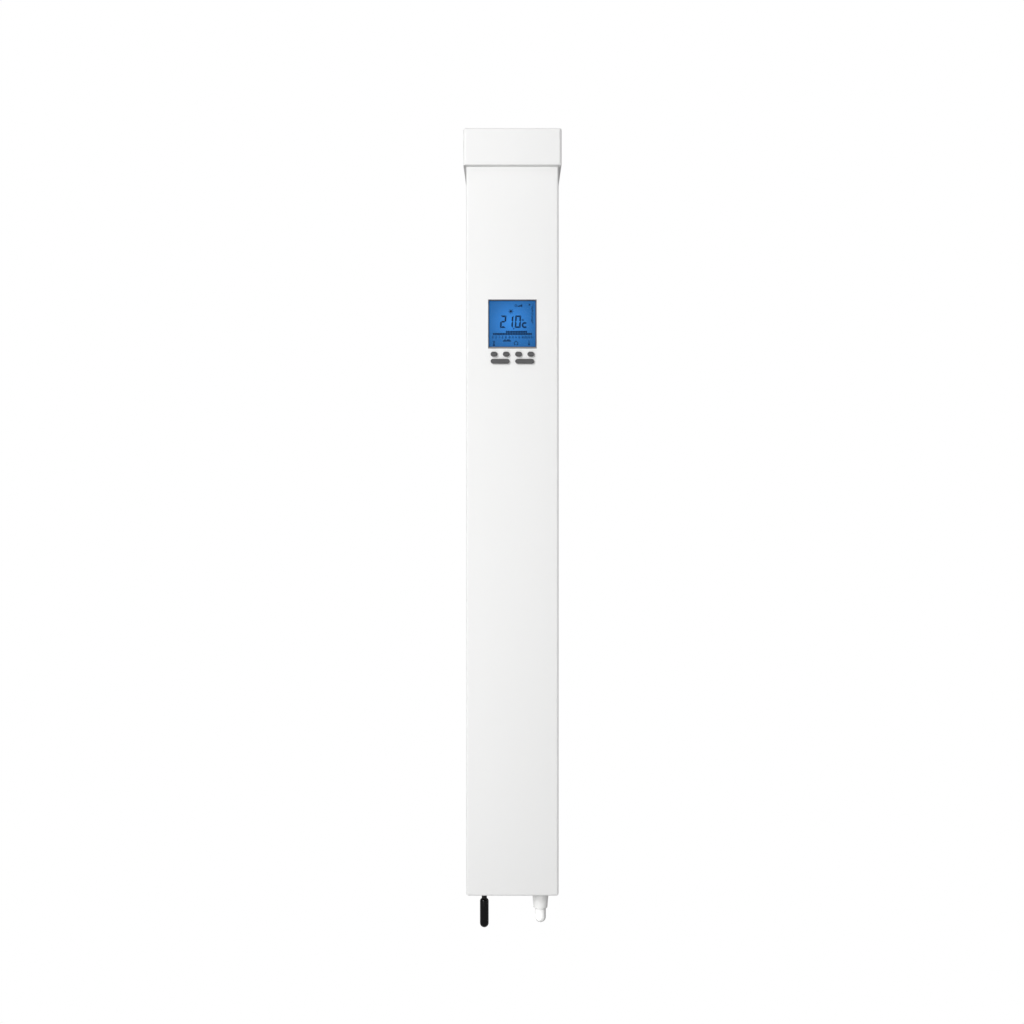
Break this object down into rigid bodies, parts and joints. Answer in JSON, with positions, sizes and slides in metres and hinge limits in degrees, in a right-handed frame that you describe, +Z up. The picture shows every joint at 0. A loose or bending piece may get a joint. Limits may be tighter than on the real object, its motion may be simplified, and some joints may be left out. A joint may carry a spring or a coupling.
{
  "type": "heater thermostat column",
  "caption": "Slim wall-hung thermostat column of an electric heater: backlit temperature display with keys, overhanging cap, and an air sensor and a cable gland below.",
  "frame": {"origin": "middle of the four wall-screw holes, in the plane of the wall, at mid-height of the column", "axes": "+Z up along the column, +Y into the wall, +X to the right as seen from the front"},
  "size_m": [0.0742, 0.084, 0.6151],
  "materials": {
    "white_steel": "satin powder coat",
    "white_moulding": "fine satin",
    "galvanised_steel": "zinc coated",
    "zinc_screws": "zinc plated",
    "rivet_aluminium": "satin",
    "label_film": "satin film",
    "bezel_grey": "satin",
    "clear_window": "polished",
    "black_foam": "matt",
    "lcd_glass": "lit blue",
    "light_guide": "lit",
    "strip_rubber": "matt",
    "carrier_plastic": "matt",
    "key_rubber": "soft matt",
    "plunger_black": "matt",
    "switch_steel": "bright",
    "green_board": "solder mask",
    "tan_board": "bare laminate",
    "chip_black": "matt",
    "battery_steel": "bright",
    "socket_plastic": "satin",
    "ribbon_grey": "satin",
    "clear_film": "satin film",
    "relay_blue": "satin",
    "transformer_core": "varnished",
    "capacitor_sleeve": "shrink sleeve",
    "film_yellow": "satin",
    "fuse_glass": "polished",
    "clip_brass": "plated",
    "terminal_green": "satin",
    "bushing_rubber": "matt",
    "probe_black": "glossy",
    "wire_black": "satin",
    "gland_white": "glossy"
  },
  "bodies": {
    "housing": {"front_cover": "white_steel", "top_cap": "white_moulding", "bottom_plate": "white_moulding", "rear_chassis": "galvanised_steel", "chassis_flanges": "galvanised_steel", "top_plate": "galvanised_steel", "cap_screws": "zinc_screws", "plate_screws": "zinc_screws", "cover_screws": "zinc_screws", "pillar_screws": "zinc_screws", "terminal_screws": "zinc_screws", "cover_studs": "zinc_screws", "stud_nuts": "zinc_screws", "top_plate_rivets": "rivet_aluminium", "rating_label": "label_film", "display_bezel": "bezel_grey", "display_window": "clear_window", "window_gasket": "black_foam", "lcd_cell": "lcd_glass", "backlight_panel": "light_guide", "display_strips": "strip_rubber", "display_carrier": "carrier_plastic", "battery_clip": "carrier_plastic", "stud_spacers": "carrier_plastic", "board_pillars": "carrier_plastic", "tact_switches": "switch_steel", "control_board": "green_board", "power_board": "tan_board", "controller_chip": "chip_black", "buzzer": "chip_black", "clock_battery": "battery_steel", "ribbon_sockets": "socket_plastic", "ribbon_cable": "ribbon_grey", "insulation_sheet": "clear_film", "mains_relay": "relay_blue", "supply_transformer": "transformer_core", "smoothing_capacitors": "capacitor_sleeve", "film_capacitor": "film_yellow", "fuse": "fuse_glass", "fuse_clips": "clip_brass", "earth_stud": "clip_brass", "terminal_block": "terminal_green", "cable_bushings": "bushing_rubber", "probe_grommet": "bushing_rubber", "sensor_probe": "probe_black", "sensor_wire": "wire_black", "cable_gland": "gland_white", "gland_plug": "gland_white"},
    "mode_button": {"mode_key": "key_rubber", "mode_plunger": "plunger_black"},
    "program_button": {"program_key": "key_rubber", "program_plunger": "plunger_black"},
    "clock_button": {"clock_key": "key_rubber", "clock_plunger": "plunger_black"},
    "boost_button": {"boost_key": "key_rubber", "boost_plunger": "plunger_black"},
    "minus_button": {"minus_key": "key_rubber", "minus_plunger": "plunger_black"},
    "plus_button": {"plus_key": "key_rubber", "plus_plunger": "plunger_black"}
  },
  "joints": [
    {"name": "mode_press", "type": "slide", "parent": "housing", "child": "mode_button", "axis": [0, 1, 0], "range_m": [0, 0.0006], "stiffness_N_per_m": 300, "springref_m": -0.0005},
    {"name": "program_press", "type": "slide", "parent": "housing", "child": "program_button", "axis": [0, 1, 0], "range_m": [0, 0.0006], "stiffness_N_per_m": 300, "springref_m": -0.0005},
    {"name": "clock_press", "type": "slide", "parent": "housing", "child": "clock_button", "axis": [0, 1, 0], "range_m": [0, 0.0006], "stiffness_N_per_m": 300, "springref_m": -0.0005},
    {"name": "boost_press", "type": "slide", "parent": "housing", "child": "boost_button", "axis": [0, 1, 0], "range_m": [0, 0.0006], "stiffness_N_per_m": 300, "springref_m": -0.0005},
    {"name": "minus_press", "type": "slide", "parent": "housing", "child": "minus_button", "axis": [0, 1, 0], "range_m": [0, 0.0006], "stiffness_N_per_m": 300, "springref_m": -0.0005},
    {"name": "plus_press", "type": "slide", "parent": "housing", "child": "plus_button", "axis": [0, 1, 0], "range_m": [0, 0.0006], "stiffness_N_per_m": 300, "springref_m": -0.0005}
  ]
}
